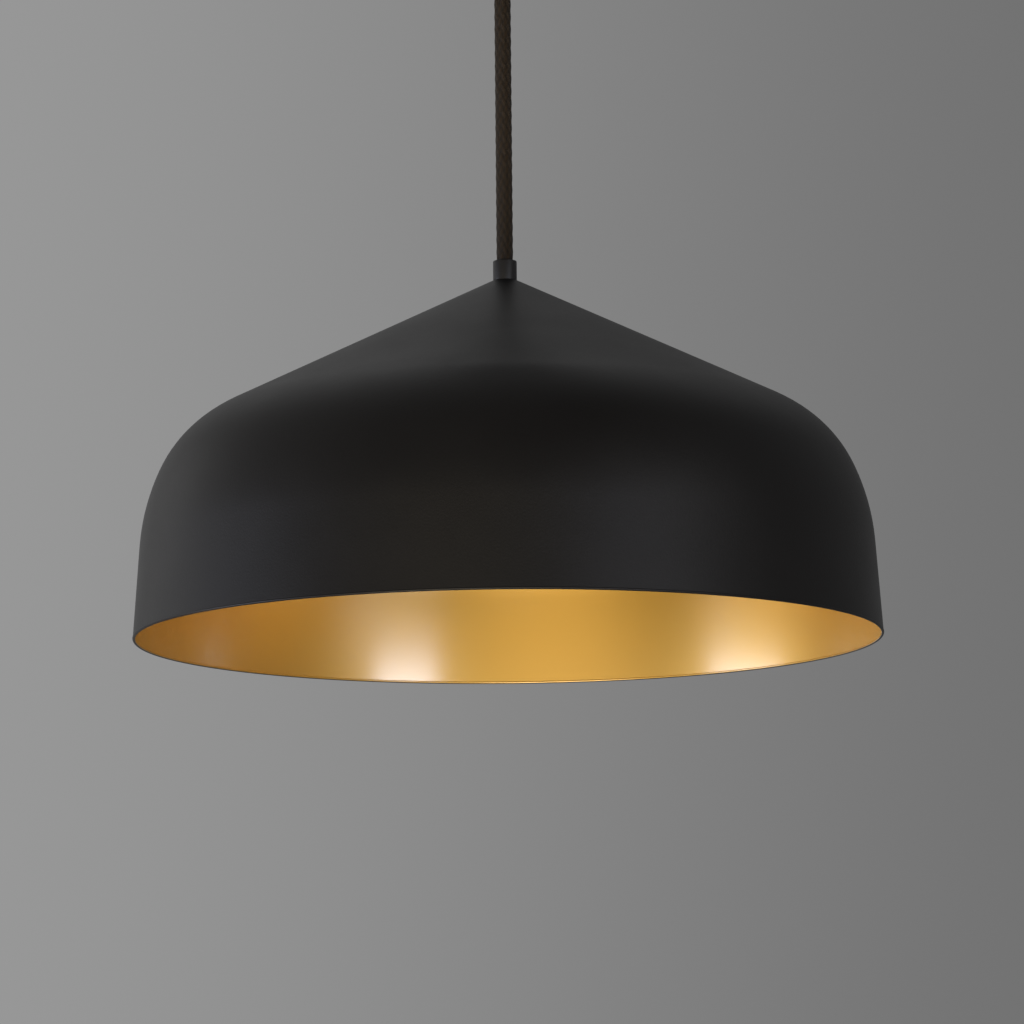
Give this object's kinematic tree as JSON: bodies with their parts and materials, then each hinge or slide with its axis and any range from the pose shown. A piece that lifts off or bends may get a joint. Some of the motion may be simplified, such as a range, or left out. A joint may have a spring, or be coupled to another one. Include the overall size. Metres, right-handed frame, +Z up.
{
  "type": "pendant ceiling light",
  "caption": "Dome pendant light: spun black shade with a gold-coated inside, hung on a braided textile cord from a round ceiling canopy, with a screw bulb inside.",
  "frame": {"origin": "on the lamp's axis at the ceiling plane, where the top face of the mounting bracket and the canopy's rim rest on the ceiling", "axes": "+Z up along the cord and the shade's axis, +X to the right seen from the front, +Y to the back; the lamp hangs at negative Z"},
  "size_m": [0.4, 0.4, 0.3947],
  "materials": {
    "black_shade": "matte",
    "gold_lining": "satin",
    "black_metal": "matte",
    "zinc_steel": "satin",
    "brass": "satin",
    "bronze": "satin",
    "black_phenolic": "satin",
    "white_ceramic": "gloss",
    "white_nylon": "satin",
    "brown_textile": "matte",
    "core_brown": "satin",
    "core_blue": "satin",
    "core_green_yellow": "satin",
    "nickel": "polished",
    "black_glass": "gloss",
    "white_plastic": "satin",
    "opal_globe": "satin",
    "board_white": "satin",
    "board_green": "satin",
    "led_phosphor": "satin"
  },
  "bodies": {
    "ceiling_fitting": {"mounting_bracket": "zinc_steel", "canopy": "black_metal", "canopy_screws": "black_metal", "cord_grip_body": "black_metal", "cord_grip_nut": "zinc_steel", "cord_grip_screw": "zinc_steel", "terminal_housing": "white_nylon", "terminal_tubes": "brass", "terminal_clamp_screws": "zinc_steel", "terminal_fixing_screw": "zinc_steel", "earth_ring_terminal": "brass", "earth_screw": "brass", "lead_live": "core_brown", "lead_neutral": "core_blue", "lead_earth": "core_green_yellow", "cord_tail": "brown_textile"},
    "cord_neck": {"cord_flex_top": "brown_textile"},
    "cord": {"cord": "brown_textile"},
    "cord_foot": {"cord_flex_bottom": "brown_textile"},
    "shade": {"cord_end": "brown_textile", "collar": "black_metal", "collar_set_screw": "zinc_steel", "nipple": "zinc_steel", "shade_washer": "zinc_steel", "shade": "black_shade", "lampholder_cap": "black_phenolic", "earth_tag": "brass", "lock_nut": "zinc_steel", "lampholder_insert": "white_ceramic", "screw_shell": "brass", "centre_contact": "bronze", "contact_rivets": "brass", "lampholder_terminals": "brass", "lampholder_terminal_screws": "zinc_steel", "lampholder_sleeve": "black_phenolic", "core_live": "core_brown", "core_neutral": "core_blue", "core_earth": "core_green_yellow"},
    "bulb": {"bulb_contact": "brass", "bulb_insulator": "black_glass", "bulb_base": "nickel", "bulb_housing": "white_plastic", "bulb_globe": "opal_globe", "led_board": "board_white", "led_chips": "led_phosphor", "driver_board": "board_green"}
  },
  "joints": [
    {"name": "swing_fore", "type": "hinge", "parent": "ceiling_fitting", "child": "cord_neck", "pos_m": [0, 0, -0.039], "axis": [1, 0, 0], "range_deg": [-20, 20]},
    {"name": "swing_side", "type": "hinge", "parent": "cord_neck", "child": "cord", "pos_m": [0, 0, -0.039], "axis": [0, 1, 0], "range_deg": [-20, 20]},
    {"name": "shade_tilt", "type": "hinge", "parent": "cord", "child": "cord_foot", "pos_m": [0, 0, -0.187], "axis": [0, 1, 0], "range_deg": [-12, 12]},
    {"name": "shade_turn", "type": "hinge", "parent": "cord_foot", "child": "shade", "pos_m": [0, 0, -0.187], "axis": [0, 0, 1], "range_deg": [-180, 180]},
    {"name": "bulb_slide", "type": "slide", "parent": "shade", "child": "bulb", "axis": [0, 0, -1], "range_m": [0, 0.16]}
  ]
}
